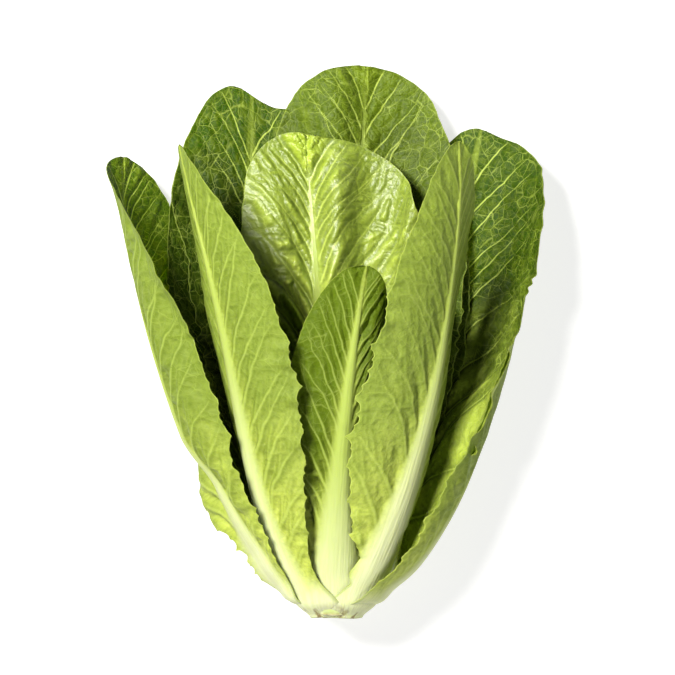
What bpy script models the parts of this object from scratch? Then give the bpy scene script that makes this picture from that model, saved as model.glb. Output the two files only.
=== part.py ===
"""A romaine lettuce head, cut off its root and lying on its back on a table.

The head's axis runs along +Y from the cut end to the leaf tips. Every leaf lies on a shell of its own: the
shells are cups round the axis that nest like the layers of an onion, so a leaf on a smaller shell is always
inside a leaf on a larger one and no two leaves touch. A leaf is described by its shell, by its bearing round
the axis (0 is straight up, 90 is towards +X, 180 is straight down), by the height of its tip along the axis,
and by how far its blade reaches on each side of the rib.

The origin is on the table, below the middle of the head's bounding box.
"""

from typing import NamedTuple

import bmesh
import bpy
import numpy as np

CM = 0.01
MM = 0.001

# Where the head lies in the row frame.
CUT_END_X = 0.56 * CM
CUT_END_Y = -14.0 * CM
AXIS_HEIGHT = 3.91 * CM
AXIS_RISE = 0.06  # height gained for each unit of length along the axis

# The stem: the cut butt and the cone inside the head that the leaves grow from.
STEM_RADIUS = 1.75 * CM
STEM_TAPER = 0.25  # radius lost for each unit of length
STEM_LENGTH = 4.0 * CM
STEM_SIDES = 28
STEM_GAP = 1.3 * MM

# The shells, from the innermost (0) to the outermost (1).
CUP_RADIUS = (0.3 * CM, 4.1 * CM)  # what the cup at the bottom of a shell adds to the stem's radius
CUP_POWER = 1.27
CUP_LENGTH = (2.2 * CM, 2.8 * CM)
FLARE = (0.03, 0.22)  # radius gained for each unit of length above the cup
FLARE_POWER = 0.6
ROUND_LENGTH = 5.5 * CM
FLATNESS_ABOVE = 0.68
FLATNESS_BELOW = 0.44
SHELL_SQUARENESS = 2.3

# A leaf of full length. Its rib and blade shrink with the leaf.
FULL_LENGTH = 24.0 * CM
RIB_HALF_WIDTH = 1.25 * CM
RIB_THICKNESS = 5.0 * MM
RIB_ROOM = 0.5  # share of the room up to the next layer that a rib may fill
BLADE_THICKNESS = 0.6 * MM
CLASP_LENGTH = 0.16  # share of the leaf's length over which it lets go of the stem
ROWS = (0.0, 0.04, 0.085, 0.14, 0.22, 0.32, 0.43, 0.54, 0.65, 0.75, 0.84, 0.91, 0.96, 0.99, 1.0)
COLUMNS = 4  # on each side of the rib

GREEN_OUTER = (0.10, 0.19, 0.02)
GREEN_MIDDLE = (0.22, 0.36, 0.05)
GREEN_HEART = (0.42, 0.58, 0.12)
CREAM_STEM = (0.76, 0.80, 0.45)


class Leaf(NamedTuple):
    name: str
    shell: float
    bearing: tuple  # degrees at the stem, halfway up and at the tip
    height: float
    minus: float  # half width on the side of falling bearings
    plus: float  # half width on the side of rising bearings
    clasp: tuple = (2.0 * CM, 2.0 * CM)  # the same at the stem
    widest: float = 0.66  # where the blade is widest, as a share of the leaf's length
    pointed: float = 0.5  # 0.5 gives a round tip, more a pointed one
    narrow: float = 0.45  # the same below the widest place: less is broader near the stem
    neck: float = 0.0  # the share below the blade, where there is little but the rib
    drop: float = 0.0  # how far below its shell's level on the stem it grows out
    room: float = 0.055  # how far it is to the next shell that is taken
    rib_outward: float = 1.0  # share of the rib that stands out of the blade's outer side
    small: bool = False


BACK = dict(clasp=(1.2 * CM, 1.2 * CM))
INNER = dict(clasp=(1.0 * CM, 1.0 * CM))
FRONT = dict(drop=0.6 * CM, room=0.2)
SMALL = dict(clasp=(0.8 * CM, 0.8 * CM), small=True)

LEAVES = (
    Leaf("outer_leaf_back", 1.00, (184, 184, 186), 21.5 * CM, 4.2 * CM, 4.8 * CM, rib_outward=0.0, **BACK),
    Leaf("outer_leaf_left", 1.00, (-84, -90, -102), 22.9 * CM, 4.4 * CM, 3.8 * CM, room=0.1, **BACK),
    Leaf("outer_leaf_right", 1.00, (76, 100, 108), 17.0 * CM, 2.6 * CM, 3.2 * CM, room=0.1, **BACK),
    Leaf("outer_leaf_back_left", 0.93, (-144, -146, -150), 22.0 * CM, 4.2 * CM, 4.0 * CM, **BACK),
    Leaf("large_leaf_right", 0.92, (119, 122, 120), 24.4 * CM, 5.8 * CM, 3.4 * CM, widest=0.7, **BACK),
    Leaf("folded_leaf_left", 0.855, (-136, -118, -122), 23.3 * CM, 2.6 * CM, 2.6 * CM, (0.9 * CM, 0.9 * CM)),
    Leaf("outer_leaf_back_right", 0.845, (150, 148, 148), 22.5 * CM, 4.4 * CM, 4.4 * CM, **BACK),
    Leaf("back_leaf_left", 0.78, (-146, -132, -128), 26.4 * CM, 5.0 * CM, 3.4 * CM, **BACK),
    Leaf("back_leaf_right", 0.725, (134, 142, 140), 25.0 * CM, 4.0 * CM, 4.0 * CM, **BACK),
    Leaf("back_leaf_tall", 0.66, (176, 166, 160), 28.0 * CM, 5.2 * CM, 5.0 * CM, **BACK),
    Leaf("front_leaf_left", 0.55, (-76, -68, -82), 23.4 * CM, 4.0 * CM, 3.8 * CM, (0.7 * CM, 2.1 * CM),
         widest=0.56, pointed=0.7, **FRONT),
    Leaf("front_leaf_right", 0.49, (40, 70, 62), 23.6 * CM, 4.2 * CM, 4.0 * CM, (1.3 * CM, 1.3 * CM),
         widest=0.46, pointed=0.55, neck=0.16, **FRONT),
    Leaf("inner_leaf_left", 0.45, (-140, -128, -124), 20.8 * CM, 3.6 * CM, 3.6 * CM, **INNER),
    Leaf("inner_leaf_right", 0.40, (124, 124, 128), 19.5 * CM, 3.4 * CM, 3.4 * CM, **INNER),
    Leaf("glossy_heart_leaf", 0.35, (184, 198, 210), 24.2 * CM, 6.2 * CM, 3.8 * CM,
         widest=0.72, rib_outward=0.7, **INNER),
    Leaf("front_heart_leaf", 0.30, (-4, 8, 26), 17.6 * CM, 3.6 * CM, 2.4 * CM, (2.4 * CM, 2.4 * CM),
         widest=0.55, narrow=0.3, room=0.2),
    Leaf("side_heart_leaf_left", 0.24, (-96, -96, -96), 14.0 * CM, 2.4 * CM, 2.0 * CM, **SMALL),
    Leaf("side_heart_leaf_right", 0.20, (98, 98, 98), 13.0 * CM, 2.2 * CM, 2.0 * CM, **SMALL),
    Leaf("heart_leaf_1", 0.16, (-150, -150, -150), 11.5 * CM, 1.9 * CM, 1.9 * CM, **SMALL),
    Leaf("heart_leaf_2", 0.12, (132, 132, 132), 10.0 * CM, 1.7 * CM, 1.7 * CM, **SMALL),
    Leaf("heart_leaf_3", 0.08, (-30, -30, -30), 8.5 * CM, 1.4 * CM, 1.4 * CM, **SMALL),
    Leaf("heart_leaf_4", 0.04, (95, 95, 95), 7.0 * CM, 1.0 * CM, 1.0 * CM, **SMALL),
    Leaf("heart_leaf_5", 0.00, (-100, -100, -100), 6.2 * CM, 0.8 * CM, 0.8 * CM, **SMALL),
)


def stem_radius(height):
    return STEM_RADIUS - STEM_TAPER * height


def insertion(shell):
    """How high up the stem a leaf on this shell grows out: the outer leaves lowest."""
    inward = 1.0 - shell
    return 0.3 * CM + 1.5 * CM * inward + 1.3 * CM * inward**3


def shell_radius(shell, height, bearing):
    """Distance from the axis to a shell, which opens like a vase and gets flatter as it rises."""
    risen = np.maximum(height - insertion(shell), 0.0)
    cup = CUP_RADIUS[0] + CUP_RADIUS[1] * shell**CUP_POWER
    cup_length = CUP_LENGTH[0] + CUP_LENGTH[1] * shell
    half_width = stem_radius(np.minimum(height, insertion(shell))) + STEM_GAP
    half_width = half_width + cup * (1.0 - np.exp(-risen / cup_length))
    half_width = half_width + (FLARE[0] + FLARE[1] * shell**FLARE_POWER) * risen
    flatness = np.where(np.cos(bearing) > 0, FLATNESS_ABOVE, FLATNESS_BELOW)
    flatness = flatness + (1.0 - flatness) * np.exp(-risen / ROUND_LENGTH)
    across = np.abs(np.sin(bearing)) / half_width
    upright = np.abs(np.cos(bearing)) / (flatness * half_width)
    n = SHELL_SQUARENESS
    return (across**n + upright**n) ** (-1.0 / n)


def on_shell(shell, height, bearing):
    """Points of a shell in the row frame."""
    radius = shell_radius(shell, height, bearing)
    x = CUT_END_X + radius * np.sin(bearing)
    y = CUT_END_Y + height
    z = AXIS_HEIGHT + AXIS_RISE * height + radius * np.cos(bearing)
    return np.stack(np.broadcast_arrays(x, y, z), axis=-1)


def rib_line(leaf, samples=300):
    """Heights and bearings along the rib, the share of its length at each, and its whole length."""
    start = insertion(leaf.shell) - leaf.drop
    heights = np.linspace(start, leaf.height, samples)
    along = (heights - start) / (leaf.height - start)
    low, middle, high = np.radians(leaf.bearing)
    bearings = (1 - along) * (1 - 2 * along) * low + 4 * along * (1 - along) * middle
    bearings += along * (2 * along - 1) * high
    points = on_shell(leaf.shell, heights, bearings)
    steps = np.linalg.norm(np.diff(points, axis=0), axis=1)
    shares = np.concatenate([[0.0], np.cumsum(steps)])
    return heights, bearings, shares / shares[-1], shares[-1]


def rib_half_width(share, scale):
    return scale * RIB_HALF_WIDTH * (1.0 - share) ** 2.2 + 0.6 * MM


def rib_thickness(leaf, share, scale, height, bearing):
    """Thickest a little above the stem, and never more than the room up to the next layer."""
    grown = 0.4 + 0.6 * np.clip(share / 0.15, 0.0, 1.0)
    thickness = scale * RIB_THICKNESS * grown * (1.0 - share) ** 1.8
    towards = leaf.room if leaf.rib_outward > 0.5 else -leaf.room
    radius = shell_radius(leaf.shell, height, bearing)
    slope = (shell_radius(leaf.shell, height + 1 * MM, bearing) - radius) / (1 * MM)
    room = abs(shell_radius(leaf.shell + towards, height, bearing) - radius) / np.hypot(1.0, slope)
    return min(thickness, RIB_ROOM * max(room - BLADE_THICKNESS, 0.0))


def blade_half_width(leaf, share, widest, clasp):
    """The outline: clasping the stem, then narrow, widest further up, with a round or pointed tip."""
    above = np.clip((share - leaf.neck) / (1.0 - leaf.neck), 0.0, 0.9995)
    power = leaf.narrow if above < leaf.widest else leaf.pointed
    outline = widest * np.sin(np.pi * above ** (np.log(0.5) / np.log(leaf.widest))) ** power
    held = clasp * np.clip(1.0 - share / CLASP_LENGTH, 0.0, 1.0) ** 1.5
    return np.hypot(outline, held)


def bearings_along(leaf, height, middle, reach):
    """Bearings of the points at these distances from the rib, measured along the shell."""
    swept = middle + np.linspace(-np.pi, np.pi, 361)
    ring = on_shell(leaf.shell, height, swept)
    steps = np.linalg.norm(np.diff(ring, axis=0), axis=1)
    walked = np.concatenate([[0.0], np.cumsum(steps)])
    return np.interp(reach, walked - walked[180], swept)


def leaf_grid(leaf):
    """The blade's middle surface as rows of points, with its outward normals and the rib's thickness."""
    heights, bearings, shares, length = rib_line(leaf)
    scale = min(1.0, length / FULL_LENGTH) ** 1.2
    step = 2 if leaf.small else 1
    columns = 3 if leaf.small else COLUMNS
    points, thicknesses = [], []
    for share in ROWS[::step]:
        height = np.interp(share, shares, heights)
        middle = np.interp(share, shares, bearings)
        rib = rib_half_width(share, scale)
        sides = []
        for widest, clasp in ((leaf.minus, leaf.clasp[0]), (leaf.plus, leaf.clasp[1])):
            blade = blade_half_width(leaf, share, widest, clasp)
            blade = max(blade, 1.2 * rib * min(share / 0.1, 1.0)) if share < 0.8 else blade
            inner = min(rib, 0.5 * blade)
            sides.append(np.concatenate([[0.6 * inner], np.linspace(inner, blade, columns)]))
        reach = np.concatenate([-sides[0][::-1], [0.0], sides[1]])
        points.append(on_shell(leaf.shell, height, bearings_along(leaf, height, middle, reach)))
        profile = np.clip(1.0 - (reach / (rib * 1.02)) ** 2, 0.0, 1.0)
        thicknesses.append(rib_thickness(leaf, share, scale, height, middle) * profile)
    points = np.array(points)
    normals = np.cross(np.gradient(points, axis=1), np.gradient(points, axis=0))
    normals /= np.linalg.norm(normals, axis=-1, keepdims=True)
    return points, normals, np.array(thicknesses)


def make_material(name, colour, roughness=0.5):
    material = bpy.data.materials.new(name)
    material.use_nodes = True
    shader = material.node_tree.nodes["Principled BSDF"]
    shader.inputs["Base Color"].default_value = (*colour, 1.0)
    shader.inputs["Roughness"].default_value = roughness
    shader.inputs["Metallic"].default_value = 0.0
    return material


def make_object(name, mesh, material):
    mesh.materials.append(material)
    mesh.shade_smooth()
    made = bpy.data.objects.new(name, mesh)
    bpy.context.scene.collection.objects.link(made)
    return made


def folds_from_first_corner(points, normals, row, column):
    """Whether a patch of the blade bulges outwards along the diagonal through its first corner.

    Both sides of a leaf are split along the same diagonal, which keeps the blade's thickness even.
    """
    first = points[row, column] + points[row + 1, column + 1]
    second = points[row + 1, column] + points[row, column + 1]
    return (first - second) @ normals[row, column] > 0


def make_leaf(leaf, material):
    """A closed solid between the leaf's inner and outer side."""
    points, normals, rib = leaf_grid(leaf)
    rib = rib[..., None]
    outer = points + normals * (BLADE_THICKNESS / 2 + rib * leaf.rib_outward)
    inner = points - normals * (BLADE_THICKNESS / 2 + rib * (1.0 - leaf.rib_outward))
    body = bmesh.new()
    sheets = [[[body.verts.new(p) for p in row] for row in sheet] for sheet in (outer, inner)]
    rows, columns = points.shape[:2]
    for r in range(rows - 1):
        for c in range(columns - 1):
            turn = 0 if folds_from_first_corner(points, normals, r, c) else 1
            for sheet in sheets:
                corners = [sheet[r][c], sheet[r + 1][c], sheet[r + 1][c + 1], sheet[r][c + 1]]
                corners = corners[turn:] + corners[:turn]
                body.faces.new(corners[:3])
                body.faces.new(corners[2:] + corners[:1])
    rim = [(r, 0) for r in range(rows - 1, 0, -1)] + [(0, c) for c in range(columns - 1)]
    rim += [(r, columns - 1) for r in range(rows - 1)] + [(rows - 1, c) for c in range(columns - 1, 0, -1)]
    for (r0, c0), (r1, c1) in zip(rim, rim[1:] + rim[:1]):
        body.faces.new([sheets[0][r0][c0], sheets[0][r1][c1], sheets[1][r1][c1], sheets[1][r0][c0]])
    bmesh.ops.recalc_face_normals(body, faces=body.faces)
    mesh = bpy.data.meshes.new(leaf.name)
    body.to_mesh(mesh)
    body.free()
    return make_object(leaf.name, mesh, material)


def make_stem(material):
    """The cut butt with a rounded rim, tapering to a blunt growing point inside the head."""
    rim = 1.5 * MM
    heights = [0.0, rim * 0.3, rim, 1.2 * CM, 2.4 * CM, 3.6 * CM, STEM_LENGTH]
    radii = [STEM_RADIUS - rim, STEM_RADIUS - rim * 0.3]
    radii += [stem_radius(h) for h in heights[2:-1]]
    radii += [stem_radius(STEM_LENGTH) * 0.6]
    body = bmesh.new()
    turns = np.linspace(0.0, 2 * np.pi, STEM_SIDES, endpoint=False)
    rings = []
    for height, radius in zip(heights, radii):
        x = CUT_END_X + radius * np.sin(turns)
        z = AXIS_HEIGHT + AXIS_RISE * height + radius * np.cos(turns)
        rings.append([body.verts.new((px, CUT_END_Y + height, pz)) for px, pz in zip(x, z)])
    for low, high in zip(rings, rings[1:]):
        for i in range(STEM_SIDES):
            j = (i + 1) % STEM_SIDES
            body.faces.new([low[i], low[j], high[j], high[i]])
    body.faces.new(rings[0])
    body.faces.new(rings[-1])
    bmesh.ops.recalc_face_normals(body, faces=body.faces)
    mesh = bpy.data.meshes.new("stem")
    body.to_mesh(mesh)
    body.free()
    return make_object("stem", mesh, material)


def clear_scene():
    for item in list(bpy.data.objects):
        bpy.data.objects.remove(item)


def main():
    clear_scene()
    greens = {
        "outer": make_material("outer_leaf", GREEN_OUTER),
        "middle": make_material("middle_leaf", GREEN_MIDDLE),
        "heart": make_material("heart_leaf", GREEN_HEART),
    }
    make_stem(make_material("stem", CREAM_STEM, 0.6))
    for leaf in LEAVES:
        kind = "outer" if leaf.shell > 0.6 else "middle" if leaf.shell > 0.33 else "heart"
        make_leaf(leaf, greens[kind])


main()
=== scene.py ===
"""The look of a romaine lettuce head lying on its back: veined, blistered leaves round a cut stem.

Every leaf is a fine sheet on the same shell as its CAD solid. Its rib, side veins, blisters, ruffled margin
and teeth are worked out in leaf coordinates: u runs along the rib from the stem and w across it, in
centimetres. All lengths in this script are in centimetres until a mesh is made.
"""

from typing import NamedTuple

import bpy
import numpy as np
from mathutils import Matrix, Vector


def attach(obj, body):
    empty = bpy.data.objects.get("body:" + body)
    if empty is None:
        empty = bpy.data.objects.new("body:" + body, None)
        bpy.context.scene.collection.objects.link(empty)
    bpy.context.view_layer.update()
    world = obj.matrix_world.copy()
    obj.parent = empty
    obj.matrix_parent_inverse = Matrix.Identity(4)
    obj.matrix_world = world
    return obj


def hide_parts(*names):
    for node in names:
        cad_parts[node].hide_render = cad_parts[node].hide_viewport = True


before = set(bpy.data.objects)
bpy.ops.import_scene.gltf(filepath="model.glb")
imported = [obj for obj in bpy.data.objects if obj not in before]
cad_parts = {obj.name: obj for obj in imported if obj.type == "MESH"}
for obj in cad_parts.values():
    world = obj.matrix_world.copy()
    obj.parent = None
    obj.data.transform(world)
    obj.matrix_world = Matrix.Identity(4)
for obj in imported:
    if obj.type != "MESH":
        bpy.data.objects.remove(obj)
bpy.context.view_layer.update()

METRES = 0.01

# The same placing and shells as the CAD model.
CUT_END = np.array([0.56, -14.0, 3.91])
AXIS_RISE = 0.06
STEM_RADIUS, STEM_TAPER, STEM_LENGTH, STEM_GAP = 1.75, 0.25, 4.0, 0.13
CUP_RADIUS, CUP_POWER, CUP_LENGTH = (0.3, 4.1), 1.27, (2.2, 2.8)
FLARE, FLARE_POWER, ROUND_LENGTH = (0.03, 0.22), 0.6, 5.5
FLATNESS_ABOVE, FLATNESS_BELOW, SHELL_SQUARENESS = 0.68, 0.44, 2.3
FULL_LENGTH, CLASP_LENGTH = 24.0, 0.16

SOFT_BEND = 0.9  # how gently the leaves at the cut end leave the stem
BLADE = 0.035  # thickness of the blade
VEIN_REACH = 0.7  # how far from a vein it is still looked for
RIB_SAMPLES, RING_SAMPLES = 400, 361  # places along a rib, and round a shell
NOISE_PERIOD = 64  # cells before the noise repeats


class Leaf(NamedTuple):
    name: str
    shell: float  # 0 in the middle of the heart, 1 outermost
    bearing: tuple  # of the rib at the stem, half way and at the tip, in degrees from straight up
    height: float  # of the tip above the cut end
    minus: float  # greatest width of the minus side
    plus: float  # and of the plus side
    clasp: tuple = (1.2, 1.2)  # width of the minus and plus sides where they clasp the stem
    widest: float = 0.66  # where along its length it is widest
    pointed: float = 0.42  # how the outline narrows towards the tip: small is blunt
    narrow: tuple = (0.42, 0.42)  # how the minus and plus sides narrow towards the stem
    neck: float = 0.0  # how much of the length is rib alone
    slot: str = "outer_leaf"
    grid: tuple = (150, 71)  # points along and across
    rib: float = 0.12  # how thick the rib is near the stem
    rib_width: float = 1.0
    rib_outward: float = 1.0
    start: float = -1.0  # where it leaves the stem, if not at its shell's own level
    dark: float = 0.9  # how dark the upper side is at the tip
    shade: float = 0.5  # how dark the lower side is at the tip
    pale: float = 0.0  # how much of the length is still pale
    blister: float = 0.14  # height of the blisters
    calm: tuple = (0.0, 0.0)  # how much flatter the blisters of the minus and plus sides are
    lean: float = 1.0  # how far the side veins rise for each unit outwards
    spacing: float = 1.3  # of the side veins along the rib
    ruffle: float = 0.22  # height of the waves along the margin
    wave: float = 0.25  # height of the long waves over the whole blade
    teeth: tuple = (0.16, 0.16)  # of the minus and plus sides
    lobes: float = 0.035  # how uneven the outline is
    flare: float = 0.0  # how far the tip leans away from the axis
    roll: tuple = (0.0, 0.0)  # how far each margin rolls away from the axis
    gloss: float = 0.5  # 1 is the glossiest
    folds: tuple = ()  # long soft folds, each from one (u, w) to another, its half width and its height


FINE = (330, 149)
TINY = (90, 41)
HEART = dict(slot="heart_leaf", grid=TINY, clasp=(0.8, 0.8), dark=0.15, pale=0.5, ruffle=0.1, wave=0.1,
             teeth=(0.06, 0.06))

LEAVES = (
    Leaf("outer_leaf_back", 1.00, (184, 184, 186), 21.5, 4.2, 4.8, rib_outward=0.0, start=0.12, wave=0.1,
         ruffle=0.12),
    Leaf("outer_leaf_left", 1.00, (-84, -90, -103), 22.9, 4.4, 4.2, pointed=0.5, narrow=(0.7, 0.3), grid=FINE,
         rib=0.3, rib_width=0.75, start=0.02, dark=0.95, shade=0.6, blister=0.3, wave=0.3, teeth=(0.35, 0.14),
         roll=(0.3, -0.2),
         folds=(((3.0, 3.4), (12.0, 4.0), 1.3, -1.0), ((12.0, 4.4), (22.0, 2.8), 1.5, -1.0),
                ((1.5, -1.7), (8.6, -2.3), 0.9, 1.1), ((2.5, 0.6), (9.0, 0.6), 1.7, -0.7))),
    Leaf("outer_leaf_right", 1.00, (76, 100, 108), 17.0, 3.0, 3.2, (2.5, 1.2), narrow=(0.12, 0.42),
         grid=(250, 101), rib=0.3, start=0.02, teeth=(0.25, 0.25), roll=(-0.6, 0.2)),
    Leaf("outer_leaf_back_left", 0.93, (-144, -146, -150), 22.0, 4.2, 4.0, narrow=(0.3, 0.3), wave=0.1,
         ruffle=0.12),
    Leaf("large_leaf_right", 0.92, (119, 122, 120), 24.4, 6.2, 3.4, (2.4, 1.2), 0.65, 0.52, (0.34, 0.42),
         grid=FINE, dark=1.0, pale=0.2, blister=0.2, lean=0.8, spacing=1.8, teeth=(0.3, 0.3), lobes=0.05,
         flare=0.2,
         folds=(((9.0, -1.5), (19.0, -4.0), 0.9, 0.3), ((12.0, -3.0), (22.0, -5.0), 0.8, -0.3),
                ((3.0, -0.8), (11.0, -2.2), 1.9, -1.4))),
    Leaf("folded_leaf_left", 0.855, (-136, -118, -122), 23.3, 2.6, 2.6, (0.9, 0.9), narrow=(0.25, 0.25),
         grid=(250, 81), dark=1.0),
    Leaf("outer_leaf_back_right", 0.845, (150, 148, 148), 22.5, 4.4, 4.4, wave=0.1, ruffle=0.12),
    Leaf("back_leaf_left", 0.78, (-146, -133, -136), 26.1, 5.0, 4.0, widest=0.74, pointed=0.32, grid=FINE,
         dark=1.0, spacing=1.6, wave=0.4, lobes=0.08,
         folds=(((18.0, -0.5), (26.0, -1.8), 0.6, -0.4), ((17.0, -3.4), (25.0, -4.4), 0.9, -0.5))),
    Leaf("back_leaf_right", 0.725, (134, 142, 140), 25.0, 4.0, 4.0),
    Leaf("back_leaf_tall", 0.66, (176, 166, 160), 28.0, 5.2, 5.0, pointed=0.4, grid=FINE, dark=0.7, blister=0.4,
         calm=(0.75, 0.0), spacing=1.7, wave=0.35, lobes=0.07, roll=(0.0, 0.5), gloss=0.55,
         folds=(((17.0, 1.0), (27.0, 1.8), 1.5, -1.2), ((20.0, -3.6), (26.0, -5.0), 1.2, -0.4))),
    Leaf("front_leaf_left", 0.55, (-76, -68, -82), 23.4, 4.0, 3.8, (0.7, 3.6), 0.56, 0.55, slot="middle_leaf",
         grid=FINE, rib=0.4, rib_width=0.85, start=0.02, blister=0.17, lean=1.1, spacing=1.5,
         teeth=(0.18, 0.18)),
    Leaf("front_leaf_right", 0.49, (40, 70, 62), 23.3, 4.2, 3.0, (2.5, 1.6), 0.46, 0.55, (0.75, 1.1), neck=0.1,
         slot="middle_leaf", grid=FINE, rib=0.34, rib_width=0.8, start=0.02, shade=0.34, blister=0.11, lean=1.1,
         spacing=1.5, teeth=(0.25, 0.25), folds=(((0.0, 1.1), (14.0, 0.7), 0.9, 0.3),)),
    Leaf("inner_leaf_left", 0.45, (-140, -128, -120), 20.6, 3.6, 3.2, (1.0, 1.0), slot="middle_leaf", dark=1.0,
         flare=0.5),
    Leaf("inner_leaf_right", 0.40, (124, 124, 128), 17.5, 3.4, 3.4, (1.0, 1.0), slot="middle_leaf", dark=0.8),
    Leaf("glossy_heart_leaf", 0.35, (184, 198, 210), 24.2, 6.2, 3.8, (1.0, 1.0), widest=0.74, pointed=0.38,
         slot="middle_leaf", grid=FINE, rib=0.3, rib_outward=0.4, dark=0.0, pale=0.55, blister=0.62,
         calm=(0.3, 0.0), lean=0.85, spacing=1.5, roll=(-0.3, 0.7), gloss=1.0,
         folds=(((12.0, -4.6), (20.0, -5.9), 0.9, -1.2), ((12.0, -0.5), (21.0, -1.6), 1.0, -1.5),
                ((13.5, 1.8), (20.0, 2.0), 1.4, -1.1))),
    Leaf("front_heart_leaf", 0.30, (-4, 8, 26), 17.6, 3.2, 2.4, (2.4, 2.4), 0.55, narrow=(0.3, 0.3),
         slot="heart_leaf", grid=FINE, rib=0.4, rib_width=1.2, start=0.8, shade=1.0, pale=-0.06, blister=0.4,
         lean=1.3, teeth=(0.15, 0.15), lobes=0.06, roll=(-0.3, -1.9)),
    Leaf("side_heart_leaf_left", 0.24, (-96, -96, -96), 14.0, 2.4, 2.0, **HEART),
    Leaf("side_heart_leaf_right", 0.20, (98, 98, 98), 13.0, 2.2, 2.0, **HEART),
    Leaf("heart_leaf_1", 0.16, (-150, -150, -150), 11.5, 1.9, 1.9, **HEART),
    Leaf("heart_leaf_2", 0.12, (132, 132, 132), 10.0, 1.7, 1.7, **HEART),
    Leaf("heart_leaf_3", 0.08, (-30, -30, -30), 8.5, 1.4, 1.4, **HEART),
    Leaf("heart_leaf_4", 0.04, (95, 95, 95), 7.0, 1.0, 1.0, **HEART),
    Leaf("heart_leaf_5", 0.00, (-100, -100, -100), 6.2, 0.8, 0.8, **HEART),
)


# ---- shells, as in the CAD model ----

def stem_radius(height):
    return STEM_RADIUS - STEM_TAPER * height


def insertion(shell):
    inward = 1.0 - shell
    return 0.3 + 1.5 * inward + 1.3 * inward**3


def shell_radius(shell, height, bearing, soft=0.0):
    """As in the CAD model, where soft is 0. A larger value rounds off the bend where the cup begins."""
    above = height - insertion(shell)
    risen = 0.5 * (above + np.hypot(above, soft))
    cup = CUP_RADIUS[0] + CUP_RADIUS[1] * shell**CUP_POWER
    cup_length = CUP_LENGTH[0] + CUP_LENGTH[1] * shell
    half_width = stem_radius(insertion(shell) + above - risen) + STEM_GAP
    half_width = half_width + cup * (1.0 - np.exp(-risen / cup_length))
    half_width = half_width + (FLARE[0] + FLARE[1] * shell**FLARE_POWER) * risen
    flatness = np.where(np.cos(bearing) > 0, FLATNESS_ABOVE, FLATNESS_BELOW)
    flatness = flatness + (1.0 - flatness) * np.exp(-risen / ROUND_LENGTH)
    across = np.abs(np.sin(bearing)) / half_width
    upright = np.abs(np.cos(bearing)) / (flatness * half_width)
    n = SHELL_SQUARENESS
    return (across**n + upright**n) ** (-1.0 / n)


def on_shell(shell, height, bearing, soft=0.0):
    radius = shell_radius(shell, height, bearing, soft)
    x = CUT_END[0] + radius * np.sin(bearing)
    y = CUT_END[1] + height
    z = CUT_END[2] + AXIS_RISE * height + radius * np.cos(bearing)
    return np.stack(np.broadcast_arrays(x, y, z), axis=-1)


def rib_line(leaf):
    start = leaf.start if leaf.start > 0 else insertion(leaf.shell)
    heights = np.linspace(start, leaf.height, RIB_SAMPLES)
    along = (heights - start) / (leaf.height - start)
    low, middle, high = np.radians(leaf.bearing)
    bearings = (1 - along) * (1 - 2 * along) * low + 4 * along * (1 - along) * middle
    bearings = bearings + along * (2 * along - 1) * high
    points = on_shell(leaf.shell, heights, bearings)
    steps = np.linalg.norm(np.diff(points, axis=0), axis=1)
    shares = np.concatenate([[0.0], np.cumsum(steps)])
    return heights, bearings, shares / shares[-1], shares[-1]


# ---- noise ----

def smooth(low, high, x):
    x = np.clip((x - low) / (high - low), 0.0, 1.0)
    return x * x * (3 - 2 * x)


def noise(x, y, seed):
    """Smooth noise from -1 to 1 with features about one unit across."""
    table = np.random.default_rng(seed).uniform(-1, 1, (NOISE_PERIOD, NOISE_PERIOD))
    x0, y0 = np.floor(x).astype(int), np.floor(y).astype(int)
    fx, fy = x - x0, y - y0
    fx, fy = fx * fx * (3 - 2 * fx), fy * fy * (3 - 2 * fy)
    x1, y1 = (x0 + 1) % NOISE_PERIOD, (y0 + 1) % NOISE_PERIOD
    x0, y0 = x0 % NOISE_PERIOD, y0 % NOISE_PERIOD
    a, b, c, d = table[x0, y0], table[x1, y0], table[x0, y1], table[x1, y1]
    return (a * (1 - fx) + b * fx) * (1 - fy) + (c * (1 - fx) + d * fx) * fy


def cells(x, y, seed):
    """How far a point is from the border of its cell: 0 on the border, about 1 in the middle."""
    jitter = np.random.default_rng(seed).uniform(0.1, 0.9, (NOISE_PERIOD, NOISE_PERIOD, 2))
    x0, y0 = np.floor(x).astype(int), np.floor(y).astype(int)
    near, second = np.full(x.shape, 9.0), np.full(x.shape, 9.0)
    for i in (-1, 0, 1):
        for j in (-1, 0, 1):
            spot = jitter[(x0 + i) % NOISE_PERIOD, (y0 + j) % NOISE_PERIOD]
            d = np.hypot(x0 + i + spot[..., 0] - x, y0 + j + spot[..., 1] - y)
            second = np.minimum(second, np.maximum(near, d))
            near = np.minimum(near, d)
    return second - near


# ---- veins ----

def vein_path(u, w, side, reach, lean, decurrent, rng):
    """A vein that leaves the rib steeply and bends outwards, as (u, w) points."""
    out = np.linspace(0.0, reach, 16)
    wiggle = np.interp(out, np.linspace(0, reach, 5), rng.uniform(-0.35, 0.35, 5))
    slope = lean * (1 + wiggle) + decurrent * np.exp(-out / 0.5) + 0.06 * lean * out
    rise = np.concatenate([[0.0], np.cumsum(0.5 * (slope[1:] + slope[:-1]) * np.diff(out))])
    return np.stack([u + rise, w + side * out], -1)


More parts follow.
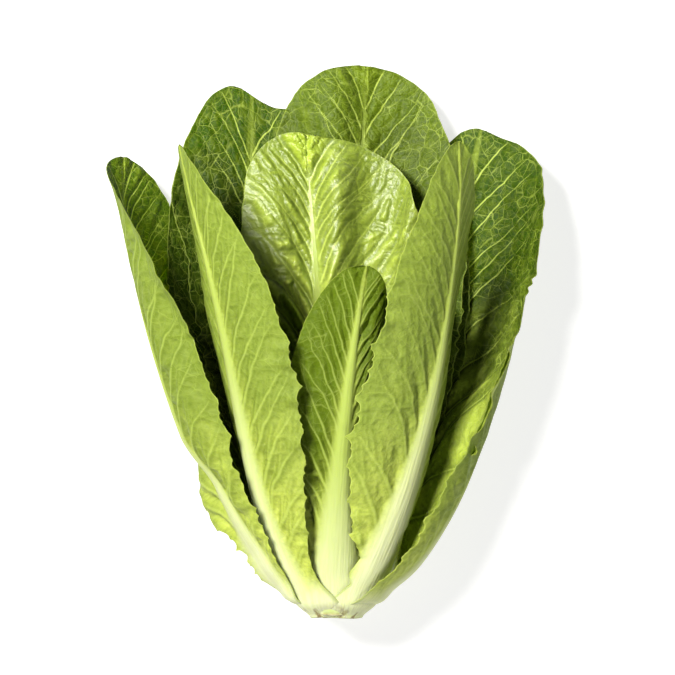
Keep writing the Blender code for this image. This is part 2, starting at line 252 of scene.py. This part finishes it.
def vein_segments(leaf, number, length, scale, widest):
    """All side veins and their branches as segments: start, end, half width and strength."""
    rng = np.random.default_rng(number)
    starts, ends, sizes = [], [], []

    def add(path, size, strength):
        taper = np.linspace(1.0, 0.35, len(path) - 1)
        starts.append(path[:-1])
        ends.append(path[1:])
        sizes.append(np.stack([np.maximum(size * taper, 0.04), strength * (0.4 + 0.6 * taper)], -1))

    for side, reach in ((-1, widest[0]), (1, widest[1])):
        u = -0.1 * length + rng.uniform(0.0, 1.0)
        while u < 0.92 * length:
            share = max(u / length, 0.0)
            lean = leaf.lean * rng.uniform(0.8, 1.2) * (0.85 + 0.5 * share)
            start_w = side * 0.5 * rib_half_width(leaf, share, scale)
            path = vein_path(u, start_w, side, reach, lean, 3.0 * (1 - 0.6 * share), rng)
            add(path, 0.13 * scale * (1.1 - 0.6 * share), 1.0)
            for at in rng.choice(np.arange(3, 12), 4, replace=False):
                steeper = rng.uniform() < 0.55
                turn = lean * rng.uniform(2.2, 3.2) if steeper else lean * rng.uniform(0.0, 0.25) - 0.15
                twig_reach = reach * rng.uniform(0.15, 0.35) * (0.6 if steeper else 1.0)
                twig = vein_path(*path[at], side, twig_reach, turn, 0.0, rng)
                add(twig, 0.07 * scale, 0.6)
            u += leaf.spacing * (0.55 + 0.45 * scale) * rng.uniform(0.65, 1.35) * (1.1 - 0.35 * share)
    return np.concatenate(starts), np.concatenate(ends), np.concatenate(sizes)


def vein_fields(U, w, segments):
    """How far each grid point is from the nearest vein, and how strongly a vein stands out there."""
    starts, ends, sizes = segments
    far, ridge = np.full(U.shape, 2.0), np.zeros(U.shape)
    block = 10  # rows at a time, to save memory
    for r in range(0, len(U), block):
        u_block, w_block = U[r : r + block], w[r : r + block]
        for side in (-1, 1):
            near = np.minimum(starts[:, 0], ends[:, 0]) < u_block.max() + VEIN_REACH
            near &= ends[:, 0] > u_block.min() - VEIN_REACH
            near &= side * (starts[:, 1] + ends[:, 1]) > 0
            here = side * w_block[0] >= 0
            if not near.any() or not here.any():
                continue
            p = np.stack([u_block[:, here], w_block[:, here]], -1)[..., None, :]
            first, along = starts[near], ends[near] - starts[near]
            part = np.clip(((p - first) * along).sum(-1) / (along**2).sum(-1), 0.0, 1.0)
            apart = np.linalg.norm(p - first - part[..., None] * along, axis=-1)
            far[r : r + block, here] = np.minimum(far[r : r + block, here], apart.min(-1))
            strength = sizes[near, 1] * np.exp(-((apart / sizes[near, 0]) ** 2))
            ridge[r : r + block, here] = np.maximum(ridge[r : r + block, here], strength.max(-1))
    return far, ridge


# ---- leaves ----

def cusps(u, spacing, seed):
    """Outward points along a margin with shallow bays between them, from 0 to 1."""
    where = u / spacing + 0.45 * noise(u / (1.7 * spacing), u * 0, seed)
    size = 0.25 + 0.75 * np.abs(noise(np.floor(where) * 0.37, u * 0 + 9, seed + 1)) * 1.6
    return size * (1 - np.abs(np.sin(np.pi * where))) ** 1.5


def rib_half_width(leaf, share, scale):
    return leaf.rib_width * scale * (0.7 * (1 - share) + 1.15 * (1 - share) ** 4) + 0.04


def turn_in(leaf, height):
    """How far a leaf that reaches the cut end turns in round the butt."""
    outermost = max(leaf.shell - 0.6, 0.0) / 0.4
    return -0.8 * np.exp(-((height / 0.42) ** 2)) - 0.3 * outermost * np.exp(-(((height - 1.1) / 0.9) ** 2))


def leaf_surface(leaf, number):
    """The leaf's points and normals, and its leaf coordinates and masks, on a grid."""
    rows, columns = leaf.grid
    heights, bearings, shares, length = rib_line(leaf)
    scale = min(1.0, length / FULL_LENGTH) ** 1.2
    t = 1.0 - (1.0 - np.linspace(0.0, 1.0, rows)) ** 1.25
    s = np.linspace(-1.0, 1.0, columns)
    height, middle = np.interp(t, shares, heights), np.interp(t, shares, bearings)
    u = t * length

    # The outline of each side, with its cusps and small teeth.
    above = np.clip((t - leaf.neck) / (1.0 - leaf.neck), 0.0, 0.9995)
    full = np.maximum(np.sin(np.pi * above ** (np.log(0.5) / np.log(leaf.widest))), 0.0)
    held = np.clip(1.0 - t / CLASP_LENGTH, 0.0, 1.0) ** 1.5
    rib_half = rib_half_width(leaf, t, scale)
    low_down = smooth(0.05, 0.2, t) * (1.0 - 0.85 * smooth(0.55, 0.85, t))
    widths = []
    for side, (widest, clasp) in enumerate(((leaf.minus, leaf.clasp[0]), (leaf.plus, leaf.clasp[1]))):
        outline = full ** np.where(above < leaf.widest, leaf.narrow[side], leaf.pointed)
        width = np.hypot(widest * outline, clasp * held)
        least = 1.1 * rib_half * np.minimum(t / 0.1, 1.0)
        width = np.where(t < 0.8, np.maximum(width, least), width)
        seed = 10 * number + side
        gentle = noise(u / 3.0, u * 0, seed + 2) + 0.5 * noise(u / 1.3, u * 0, seed + 3)
        tooth = 1.6 * cusps(u, 2.1, seed + 4) + 0.8 * cusps(u, 0.65, seed + 6) - 0.6
        uneven = leaf.lobes * gentle * smooth(0.1, 0.3, t)
        width = width * (1 + uneven) + leaf.teeth[side] * scale * tooth * low_down
        width = width + 0.03 * scale * noise(u / 0.35, u * 0, seed + 8) * smooth(0.2, 0.4, t) * (1 - t**4)
        widths.append(np.maximum(width, 0.02))
    minus, plus = widths
    w = np.where(s[None, :] < 0, s[None, :] * minus[:, None], s[None, :] * plus[:, None])

    # The points on the shell.
    soft = SOFT_BEND if leaf.start > 0 else 0.0
    points = np.empty((rows, columns, 3))
    for r in range(rows):
        swept = middle[r] + np.linspace(-np.pi, np.pi, RING_SAMPLES)
        ring = on_shell(leaf.shell, height[r], swept, soft)
        steps = np.linalg.norm(np.diff(ring, axis=0), axis=1)
        walked = np.concatenate([[0.0], np.cumsum(steps)])
        turned = np.interp(w[r], walked - walked[RING_SAMPLES // 2], swept)
        points[r] = on_shell(leaf.shell, height[r], turned, soft)
    normals = grid_normals(points)

    T, S, U = t[:, None] + 0 * w, s[None, :] + 0 * w, u[:, None] + 0 * w
    out = np.abs(w)
    bent_u = U + 0.10 * noise(U / 0.8, w / 0.8, number + 50) + 0.04 * noise(U / 0.3, w / 0.3, number + 49)
    bent_w = w + 0.06 * noise(U / 0.7, w / 0.7, number + 51) * smooth(0.0, 0.6, out)
    segments = vein_segments(leaf, number, length, scale, (minus.max(), plus.max()))
    far, ridge = vein_fields(bent_u, bent_w, segments)
    off_rib = np.maximum(smooth(0.85, 1.5, out / rib_half[:, None]), 0.7 * smooth(0.85, 0.97, T))
    cell = cells(bent_w / 0.8, bent_u / 0.75 - out * 0.6, number + 53)
    small = cells(bent_w / 0.28 + 0.2 * noise(w * 2, U * 2, number + 54), bent_u / 0.3, number + 55)

    # Displacement, positive away from the axis: the tissue between the veins bulges to the inner side.
    grown = smooth(0.06, 0.3, T)
    pillow = 1 - np.exp(-((far / 0.3) ** 2))
    lumpy = 0.55 + 0.65 * noise(w / 1.1, U / 1.3, number + 56)
    bulge = 0.55 * np.clip(lumpy, 0, 1.2) * smooth(0.0, 0.6, cell)
    blister = pillow * (0.62 + bulge + 0.1 * smooth(0.0, 0.4, small))
    blister *= 0.75 + 0.45 * noise(w / 2.3, U / 2.3, number + 57)
    blister *= off_rib * grown * (1 - 0.75 * smooth(0.75, 1.0, np.abs(S)))
    blister *= 0.8 + 0.9 * np.exp(-(((out - rib_half[:, None] - 0.5) / 0.7) ** 2)) * (1 - smooth(0.6, 0.9, T))
    blister *= 1 - np.where(w < 0, leaf.calm[0], leaf.calm[1]) * smooth(0.3, 1.2, out)
    shift = -leaf.blister * blister
    spread = np.where(w < 0, out / minus.max(), out / plus.max())
    curl = spread**2.5 * smooth(0.05, 0.3, T) * (1 - 0.6 * smooth(0.9, 1.0, T))
    side_seed = np.where(w < 0, 0.0, 40.0)
    frill = np.sin(2 * np.pi * (U / 2.7 + 1.1 * noise(U / 3.1, side_seed, number + 58)) + side_seed)
    frill += 0.6 * np.sin(2 * np.pi * (U / 1.15 + 0.8 * noise(U / 1.5, side_seed, number + 59)))
    frill *= 0.6 + 0.6 * noise(U / 2.2, side_seed + 5, number + 60)
    shift += leaf.ruffle * scale * np.abs(S) ** 4 * frill * grown * (1.15 - T) * (1 - smooth(0.93, 1.0, T))
    long_wave = leaf.wave * scale * noise(U / 4.0, w / 3.0 + side_seed, number + 61)
    shift += long_wave * grown * smooth(0.05, 1.0, spread)
    shift += leaf.flare * T**3
    shift += np.where(w < 0, leaf.roll[0], leaf.roll[1]) * curl
    for (u0, w0), (u1, w1), half, size in leaf.folds:
        part = np.clip((U - u0) / (u1 - u0), -0.3, 1.3)
        bell = np.exp(-(((w - (w0 + part * (w1 - w0))) / half) ** 2))
        shift += size * bell * smooth(-0.3, 0.25, part) * (1 - smooth(0.8, 1.3, part))
    shift -= (STEM_GAP - 0.03) * (1 - smooth(0.0, 0.06, T))
    if 0 < leaf.start < 0.1:
        shift += turn_in(leaf, height)[:, None]
    upwards = np.gradient(points[:, columns // 2 : columns // 2 + 1], axis=0)
    upwards /= np.linalg.norm(upwards, axis=-1, keepdims=True)
    reach_up = 10 * leaf.lobes * noise(w / 2.6 + 0.5, U / 6.0 + 3, number + 62)
    reach_up += 0.07 * noise(w / 0.6 + 0.5, U / 3.0, number + 63) * smooth(0.1, 0.5, spread)
    points = points + normals * shift[..., None] + upwards * (reach_up * scale * T**3)[..., None]
    normals = grid_normals(points)

    # Thickness: the rib swells, and the side veins stand out below.
    profile = np.clip(1.0 - (w / (1.3 * rib_half[:, None])) ** 2, 0.0, 1.0) ** 1.6
    thick = leaf.rib * scale * (0.3 + 0.7 * smooth(0.0, 0.12, T)) * (1 - T) ** 1.3 + 0.02
    rib = thick * profile
    vein = 0.07 * ridge * np.exp(-out / 2.2) * off_rib * grown * (1.1 - T)
    outer = BLADE / 2 + rib * leaf.rib_outward + vein
    inner = BLADE / 2 + rib * (1 - leaf.rib_outward) + 0.1 * vein
    masks = {
        "ridge": ridge * (1 - 0.7 * smooth(0.8, 1.0, np.abs(S))),
        "across": out / rib_half[:, None],
        "along": T,
        "margin": np.abs(S),
        # hollow: how far the blade bulges; the material uses it only for painted shade in the grooves and
        # hollows.
        "hollow": np.clip(blister, 0, 2),
        # beside: nearness to the side of a vein, used only for painted shade next to the veins.
        "beside": np.exp(-(((far - 0.12) / 0.09) ** 2)) * off_rib,
    }
    return points, normals, outer, inner, U, w, masks, (minus, plus)


def grid_normals(points):
    normals = np.cross(np.gradient(points, axis=1), np.gradient(points, axis=0))
    return normals / np.maximum(np.linalg.norm(normals, axis=-1, keepdims=True), 1e-9)


def add_float(mesh, name, values):
    values = np.ascontiguousarray(values, np.float32).ravel()
    mesh.attributes.new(name, "FLOAT", "POINT").data.foreach_set("value", values)


def make_leaf(leaf, number, material):
    points, normals, outer, inner, U, w, masks, widths = leaf_surface(leaf, number)
    rows, columns = U.shape
    sheets = np.stack([points + normals * outer[..., None], points - normals * inner[..., None]])
    index = np.arange(2 * rows * columns).reshape(2, rows, columns)
    a, b = index

    def quads(grid):
        return np.stack([grid[:-1, :-1], grid[:-1, 1:], grid[1:, 1:], grid[1:, :-1]], axis=-1).reshape(-1, 4)

    def strip(here, there):
        """The faces that join the two sheets along one edge."""
        return np.stack([a[here], a[there], b[there], b[here]], axis=-1)

    rim = [strip(np.s_[0, 1:], np.s_[0, :-1]), strip(np.s_[-1, :-1], np.s_[-1, 1:])]
    rim += [strip(np.s_[:-1, 0], np.s_[1:, 0]), strip(np.s_[1:, -1], np.s_[:-1, -1])]
    faces = np.concatenate([quads(a), quads(b)[:, ::-1]] + rim)
    mesh = bpy.data.meshes.new(leaf.name + "_look")
    mesh.from_pydata((sheets.reshape(-1, 3) * METRES).tolist(), [], faces.tolist())
    mesh.update()
    for name, values in masks.items():
        add_float(mesh, name, np.stack([values, values]))
    add_float(mesh, "under", np.stack([np.ones_like(U), np.zeros_like(U)]))
    for name in ("dark", "shade", "pale"):
        add_float(mesh, name, np.full((2, rows, columns), getattr(leaf, name)))
    place = np.stack([np.stack([w, U, 0 * U + number + sheet], -1) for sheet in (0.0, 0.5)])
    values = place.astype(np.float32).ravel()
    mesh.attributes.new("place", "FLOAT_VECTOR", "POINT").data.foreach_set("vector", values)

    # The layout for baking: the outer side on the left half and the inner side on the right.
    reach = max(widths[0].max(), widths[1].max())
    across = 0.02 + 0.46 * (w / reach * 0.5 + 0.5)
    upward = 0.01 + 0.98 * masks["along"]
    uv = np.stack([np.stack([across, upward], -1), np.stack([across + 0.5, upward], -1)]).reshape(-1, 2)
    corner = np.empty(len(mesh.loops), np.int32)
    mesh.loops.foreach_get("vertex_index", corner)
    mesh.uv_layers.new(name="OFBake").data.foreach_set("uv", uv[corner].astype(np.float32).ravel())
    mesh.materials.append(material)
    mesh.shade_smooth()
    made = bpy.data.objects.new(leaf.name + "_look", mesh)
    bpy.context.scene.collection.objects.link(made)
    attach(made, "root")
    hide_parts(leaf.name)


# ---- materials ----

class Nodes:
    """Short names for the nodes of one material."""

    def __init__(self, name):
        self.material = bpy.data.materials.new(name)
        self.material.use_nodes = True
        self.tree = self.material.node_tree
        self.shader = self.tree.nodes["Principled BSDF"]

    def put(self, socket, value):
        if isinstance(value, bpy.types.NodeSocket):
            self.tree.links.new(value, socket)
        else:
            socket.default_value = value

    def node(self, kind, inputs=(), **settings):
        made = self.tree.nodes.new(kind)
        for key, value in settings.items():
            setattr(made, key, value)
        for key, value in dict(inputs).items():
            self.put(made.inputs[key], value)
        return made

    def attribute(self, name, output="Fac"):
        return self.node("ShaderNodeAttribute", attribute_name=name).outputs[output]

    def maths(self, operation, a, b):
        return self.node("ShaderNodeMath", {0: a, 1: b}, operation=operation).outputs[0]

    def vector(self, operation, a, b):
        return self.node("ShaderNodeVectorMath", {0: a, 1: b}, operation=operation).outputs[0]

    def remap(self, value, low, high, new_low=0.0, new_high=1.0):
        inputs = {"Value": value, "From Min": low, "From Max": high, "To Min": new_low, "To Max": new_high}
        return self.node("ShaderNodeMapRange", inputs, interpolation_type="SMOOTHSTEP").outputs[0]

    def mix_number(self, factor, a, b):
        return self.node("ShaderNodeMix", {0: factor, 2: a, 3: b}, data_type="FLOAT").outputs[0]

    def mix(self, factor, a, b):
        made = self.node("ShaderNodeMix", data_type="RGBA", clamp_factor=True)
        self.put(made.inputs[0], factor)
        self.put(made.inputs[6], a)
        self.put(made.inputs[7], b)
        return made.outputs[2]

    def tint(self, colour, other, mask, amount):
        """The colour, turned to the other one by that amount where the mask is 1."""
        return self.mix(self.maths("MULTIPLY", mask, amount), colour, other)

    def noise(self, where, scale, detail=2.0, roughness=0.5):
        inputs = {"Vector": where, "Scale": scale, "Detail": detail, "Roughness": roughness}
        return self.node("ShaderNodeTexNoise", inputs).outputs["Fac"]

    def edges(self, where, scale):
        inputs = {"Vector": where, "Scale": scale}
        return self.node("ShaderNodeTexVoronoi", inputs, feature="DISTANCE_TO_EDGE").outputs["Distance"]

    def bump(self, height, strength, distance):
        inputs = {"Height": height, "Strength": strength, "Distance": distance}
        return self.node("ShaderNodeBump", inputs).outputs[0]

    def subsurface(self, radius, scale):
        self.shader.inputs["Subsurface Weight"].default_value = 0.2
        self.shader.inputs["Subsurface Radius"].default_value = radius
        self.shader.inputs["Subsurface Scale"].default_value = scale


def rgb(red, green, blue):
    """A display colour, 0 to 255, as linear light."""
    parts = [c / 255 for c in (red, green, blue)]
    return (*[c / 12.92 if c <= 0.04045 else ((c + 0.055) / 1.055) ** 2.4 for c in parts], 1.0)


# DARK_UPPER and DARK_UNDER are the leaves' own dark greens, and also the colour of the painted shade in
# grooves, hollows and beside the veins.
DARK_UPPER = rgb(40, 60, 2)
LIGHT_UPPER = rgb(146, 168, 40)
PALE_UPPER = rgb(178, 197, 78)
DARK_UNDER = rgb(78, 97, 10)
LIGHT_UNDER = rgb(150, 168, 74)
PALE_UNDER = rgb(180, 193, 84)
RIB_LOW = rgb(208, 213, 164)
RIB_HIGH = rgb(152, 168, 78)
VEIN_UPPER = rgb(182, 199, 92)
VEIN_UNDER = rgb(164, 180, 86)
SEAM = rgb(112, 130, 44)
BROWN = rgb(112, 84, 40)


COARSE_NET, FINE_NET = 1.3, 3.4  # how dense the two nets of small veins are
DULL, POLISH = 0.66, 0.18  # roughness of a blade without gloss, and how much gloss takes from it
LEAST_SHINE, MORE_SHINE = 0.08, 0.67  # specular level of a plain blade, and what a glossy one adds
BUMP_STRENGTH, BUMP_DEPTH = 0.75, 0.0012


def leaf_material(slot, gloss):
    m = Nodes(f"lettuce_{slot}_{round(100 * gloss)}")
    where = m.attribute("place", "Vector")
    along, across, margin = m.attribute("along"), m.attribute("across"), m.attribute("margin")
    under, dark, pale = m.attribute("under"), m.attribute("dark"), m.attribute("pale")
    shade = m.attribute("shade")
    ridge, hollow, beside = m.attribute("ridge"), m.attribute("hollow"), m.attribute("beside")

    # How green the blade is: pale at the stem and beside the rib, dark towards the tip.
    blotch = m.noise(where, 0.55, 3.0, 0.55)
    start = m.maths("SUBTRACT", along, pale)
    start = m.maths("ADD", start, m.maths("MULTIPLY", m.maths("SUBTRACT", blotch, 0.5), 0.4))
    green = m.remap(start, 0.0, 0.55)
    green = m.maths("MULTIPLY", green, m.remap(across, 0.8, 3.0, 0.65, 1.0))

    # A fine net between the side veins.
    shove = m.node("ShaderNodeTexNoise", {"Vector": where, "Scale": 1.6, "Detail": 2.0}).outputs["Color"]
    warped = m.vector("ADD", where, m.vector("MULTIPLY", shove, (0.35, 0.35, 0.0)))
    coarse = m.edges(warped, COARSE_NET)
    fine = m.edges(warped, FINE_NET)
    net = m.maths("MAXIMUM", m.remap(coarse, 0.035, 0.0), m.maths("MULTIPLY", m.remap(fine, 0.06, 0.0), 0.5))
    net = m.maths("MULTIPLY", net, m.remap(m.noise(where, 0.9, 3.0), 0.35, 0.65, 0.25, 1.0))
    vein = m.remap(ridge, 0.3, 0.95)
    thin_vein = m.remap(ridge, 0.55, 0.95)

    # Upper side.
    upper = m.mix(green, PALE_UPPER, m.mix(dark, LIGHT_UPPER, DARK_UPPER))
    upper = m.tint(upper, LIGHT_UPPER, m.remap(m.noise(where, 3.0, 4.0), 0.35, 0.75), 0.2)
    # Painted shade: darker where the blade does not bulge up, as in the grooves along the veins.
    upper = m.tint(upper, DARK_UPPER, m.remap(hollow, 0.5, 0.1), 0.35)
    # Painted shade: a dark border just beside each vein line.
    upper = m.tint(upper, DARK_UPPER, beside, 0.4)
    upper = m.tint(upper, VEIN_UPPER, net, 0.36)
    upper = m.tint(upper, VEIN_UPPER, thin_vein, 0.75)

    # Lower side: paler and greyer, with painted shade in the hollows of the blisters.
    lower = m.mix(green, PALE_UNDER, m.mix(shade, LIGHT_UNDER, DARK_UNDER))
    lower = m.tint(lower, DARK_UNDER, m.remap(m.noise(where, 3.6, 5.0, 0.65), 0.4, 0.75), 0.4)
    # Painted shade: darker where the blisters leave deep hollows on this side.
    lower = m.tint(lower, DARK_UNDER, m.remap(hollow, 0.7, 1.6), 0.55)
    # Painted shade beside the veins, as on the upper side.
    lower = m.tint(lower, DARK_UNDER, beside, 0.32)
    pale_lines = m.maths("MAXIMUM", m.maths("MULTIPLY", vein, 0.45), m.maths("MULTIPLY", net, 0.25))
    lower = m.mix(pale_lines, lower, VEIN_UNDER)
    blade = m.mix(under, upper, lower)
    blade = m.tint(blade, VEIN_UPPER, m.remap(margin, 0.98, 1.0), 0.35)

    # The rib: cream at the stem, green-white further up, with fine lengthwise strands.
    strands = m.noise(m.vector("MULTIPLY", where, (9.0, 0.5, 1.0)), 1.0, 3.0)
    greener = m.maths("ADD", along, m.maths("MULTIPLY", shade, 0.35))
    rib_colour = m.mix(m.remap(greener, 0.2, 0.85), RIB_LOW, RIB_HIGH)
    rib_colour = m.tint(rib_colour, LIGHT_UNDER, m.remap(strands, 0.35, 0.75), 0.2)
    side_across = m.maths("MULTIPLY", across, m.remap(under, 0.0, 1.0, 1.7, 1.0))
    rib = m.maths("MULTIPLY", m.remap(side_across, 1.45, 0.5), m.remap(along, 0.97, 0.8))
    rib = m.maths("MAXIMUM", rib, m.remap(along, 0.11, 0.02))
    colour = m.mix(rib, blade, rib_colour)

    # Near the butt the clasping margins are greener, and the cut end has brown patches.
    seam = m.maths("MULTIPLY", m.remap(margin, 0.86, 1.0), m.remap(along, 0.16, 0.03))
    colour = m.tint(colour, SEAM, seam, 0.6)
    patches = m.remap(m.noise(where, 1.1, 4.0, 0.6), 0.5, 0.62)
    scar = m.maths("MULTIPLY", patches, m.remap(along, 0.03, 0.008))
    m.put(m.shader.inputs["Base Color"], m.tint(colour, BROWN, scar, 0.8))

    # Surface.
    height = m.maths("MULTIPLY", m.remap(fine, 0.0, 0.25), 0.2)
    height = m.maths("ADD", height, m.maths("MULTIPLY", m.remap(coarse, 0.0, 0.3), 0.5))
    height = m.maths("ADD", height, m.maths("MULTIPLY", m.noise(where, 2.4, 3.0), 1.1))
    blade_only = m.maths("SUBTRACT", 1.0, rib)
    sign = m.mix_number(under, 1.2 - 0.6 * gloss, -0.4)
    height = m.maths("MULTIPLY", m.maths("MULTIPLY", height, sign), blade_only)
    height = m.maths("ADD", height, m.maths("MULTIPLY", m.maths("MULTIPLY", strands, rib), 0.4))
    m.put(m.shader.inputs["Normal"], m.bump(height, BUMP_STRENGTH, BUMP_DEPTH))
    rough = m.maths("ADD", DULL - POLISH * gloss, m.maths("MULTIPLY", under, 0.7 * POLISH * gloss))
    uneven = m.maths("SUBTRACT", m.noise(where, 4.0, 3.0), 0.5)
    rough = m.maths("ADD", rough, m.maths("MULTIPLY", uneven, 0.22))
    m.put(m.shader.inputs["Roughness"], rough)
    shine = float(smooth(0.4, 1.0, gloss))
    m.shader.inputs["Specular IOR Level"].default_value = LEAST_SHINE + MORE_SHINE * shine
    m.subsurface((0.8, 1.0, 0.1), 0.003)
    return m.material


def stem_material():
    m = Nodes("lettuce_stem")
    where = m.node("ShaderNodeTexCoord").outputs["Object"]
    cut = m.attribute("cut")
    blotch = m.noise(where, 90.0, 4.0, 0.6)
    skin = m.mix(m.remap(blotch, 0.35, 0.7), rgb(226, 232, 172), rgb(196, 212, 128))
    rings = m.noise(where, 260.0, 3.0)
    face = m.mix(m.remap(rings, 0.4, 0.65), rgb(222, 214, 164), rgb(186, 164, 104))
    face = m.mix(m.remap(blotch, 0.5, 0.7), face, rgb(150, 108, 56))
    m.put(m.shader.inputs["Base Color"], m.mix(cut, skin, face))
    m.put(m.shader.inputs["Roughness"], m.remap(rings, 0.3, 0.7, 0.35, 0.6))
    m.put(m.shader.inputs["Normal"], m.bump(m.noise(where, 300.0, 5.0), 0.4, 0.001))
    m.subsurface((1.0, 0.8, 0.3), 0.004)
    return m.material


def make_stem(material):
    """The butt: a rough cut face that turns into rounded sides, and the cone inside the head."""
    sides = 160
    turns = np.linspace(0, 2 * np.pi, sides, endpoint=False)
    edge = 1.32  # radius of the flat part of the cut
    rings, cut = [], []
    for share in np.linspace(0.05, 1.0, 24):
        grain = noise(share * 6 * np.cos(turns) + 20, share * 6 * np.sin(turns) + 20, 7)
        dip = 0.10 * (1 - share**2) + 0.05 * share**4 + 0.025 * grain
        rings.append((dip, share * edge * np.ones(sides)))
        cut.append(1.0)
    for height in np.linspace(0.08, STEM_LENGTH, 50):
        round_off = np.exp(-((height / 0.3) ** 2)) * (stem_radius(0.0) - edge) * 0.9
        lumps = 0.04 * noise(3 * np.cos(turns) + 9, height * 2 + 3 * np.sin(turns), 8)
        radius = stem_radius(height) - round_off + lumps
        radius = radius * (1 - 0.45 * smooth(STEM_LENGTH - 1.0, STEM_LENGTH, height))
        rings.append((height + 0 * turns, radius))
        cut.append(float(np.clip(1.2 - height / 0.18, 0, 1)))
    points = []
    for height, radius in rings:
        x = CUT_END[0] + radius * np.sin(turns)
        z = CUT_END[2] + AXIS_RISE * height + radius * np.cos(turns)
        points.append(np.stack([x, CUT_END[1] + height, z], -1))
    points = np.array(points)
    index = np.arange(len(rings) * sides).reshape(len(rings), sides)
    after = np.roll(index, -1, axis=1)
    faces = np.stack([index[:-1], after[:-1], after[1:], index[1:]], -1).reshape(-1, 4).tolist()
    faces += [index[0][::-1].tolist(), index[-1].tolist()]
    mesh = bpy.data.meshes.new("stem_look")
    mesh.from_pydata((points.reshape(-1, 3) * METRES).tolist(), [], faces)
    mesh.update()
    add_float(mesh, "cut", np.repeat(cut, sides))
    mesh.materials.append(material)
    mesh.shade_smooth()
    made = bpy.data.objects.new("stem_look", mesh)
    bpy.context.scene.collection.objects.link(made)
    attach(made, "root")
    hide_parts("stem")


# ---- studio, in metres ----

FLOOR_HALF, FLOOR_GREY, FLOOR_GLOW = 3.0, 0.45, 0.7
WORLD_LIGHT = 0.07
AIM = (0, 0, 0.05)  # where both lights point
KEY = dict(position=(-0.68, 0.5, 1.36), size=0.5, power=54.0, colour=(1.0, 0.98, 0.94))
FILL = dict(position=(0.5, -1.0, 1.2), size=0.8, power=9.0, colour=(1.0, 1.0, 1.0))
CAMERA_PLACE, CAMERA_LENS = (0.0063, -0.001, 1.921), 200.0


def make_floor():
    mesh = bpy.data.meshes.new("floor")
    signs = ((-1, -1), (1, -1), (1, 1), (-1, 1))
    mesh.from_pydata([(x * FLOOR_HALF, y * FLOOR_HALF, 0) for x, y in signs], [], [(0, 1, 2, 3)])
    m = Nodes("floor")
    m.shader.inputs["Base Color"].default_value = (FLOOR_GREY, FLOOR_GREY, FLOOR_GREY, 1.0)
    m.shader.inputs["Roughness"].default_value = 0.8
    m.shader.inputs["Emission Color"].default_value = (1.0, 1.0, 1.0, 1.0)
    m.shader.inputs["Emission Strength"].default_value = FLOOR_GLOW
    mesh.materials.append(m.material)
    made = bpy.data.objects.new("floor", mesh)
    bpy.context.scene.collection.objects.link(made)


def add_light(name, position, size, power, colour):
    light = bpy.data.lights.new(name, "AREA")
    light.shape, light.size, light.energy, light.color = "DISK", size, power, colour
    made = bpy.data.objects.new(name, light)
    made.location = position
    made.rotation_euler = (Vector(AIM) - Vector(position)).to_track_quat("-Z", "Y").to_euler()
    bpy.context.scene.collection.objects.link(made)


def make_studio():
    scene = bpy.context.scene
    world = bpy.data.worlds.new("studio")
    world.use_nodes = True
    background = world.node_tree.nodes["Background"].inputs
    background["Color"].default_value, background["Strength"].default_value = (1, 1, 1, 1), WORLD_LIGHT
    scene.world = world
    add_light("key", **KEY)
    add_light("fill", **FILL)
    scene.view_settings.view_transform = "Standard"
    camera = bpy.data.cameras.new("camera")
    camera.lens, camera.sensor_width = CAMERA_LENS, 36.0
    camera.clip_start, camera.clip_end = 0.05, 20.0
    made = bpy.data.objects.new("camera", camera)
    made.location = CAMERA_PLACE
    scene.collection.objects.link(made)
    scene.camera = made


make_floor()
make_studio()
kinds = sorted({(leaf.slot, leaf.gloss) for leaf in LEAVES})
materials = {kind: leaf_material(*kind) for kind in kinds}
for number, leaf in enumerate(LEAVES, 1):
    make_leaf(leaf, number, materials[leaf.slot, leaf.gloss])
make_stem(stem_material())
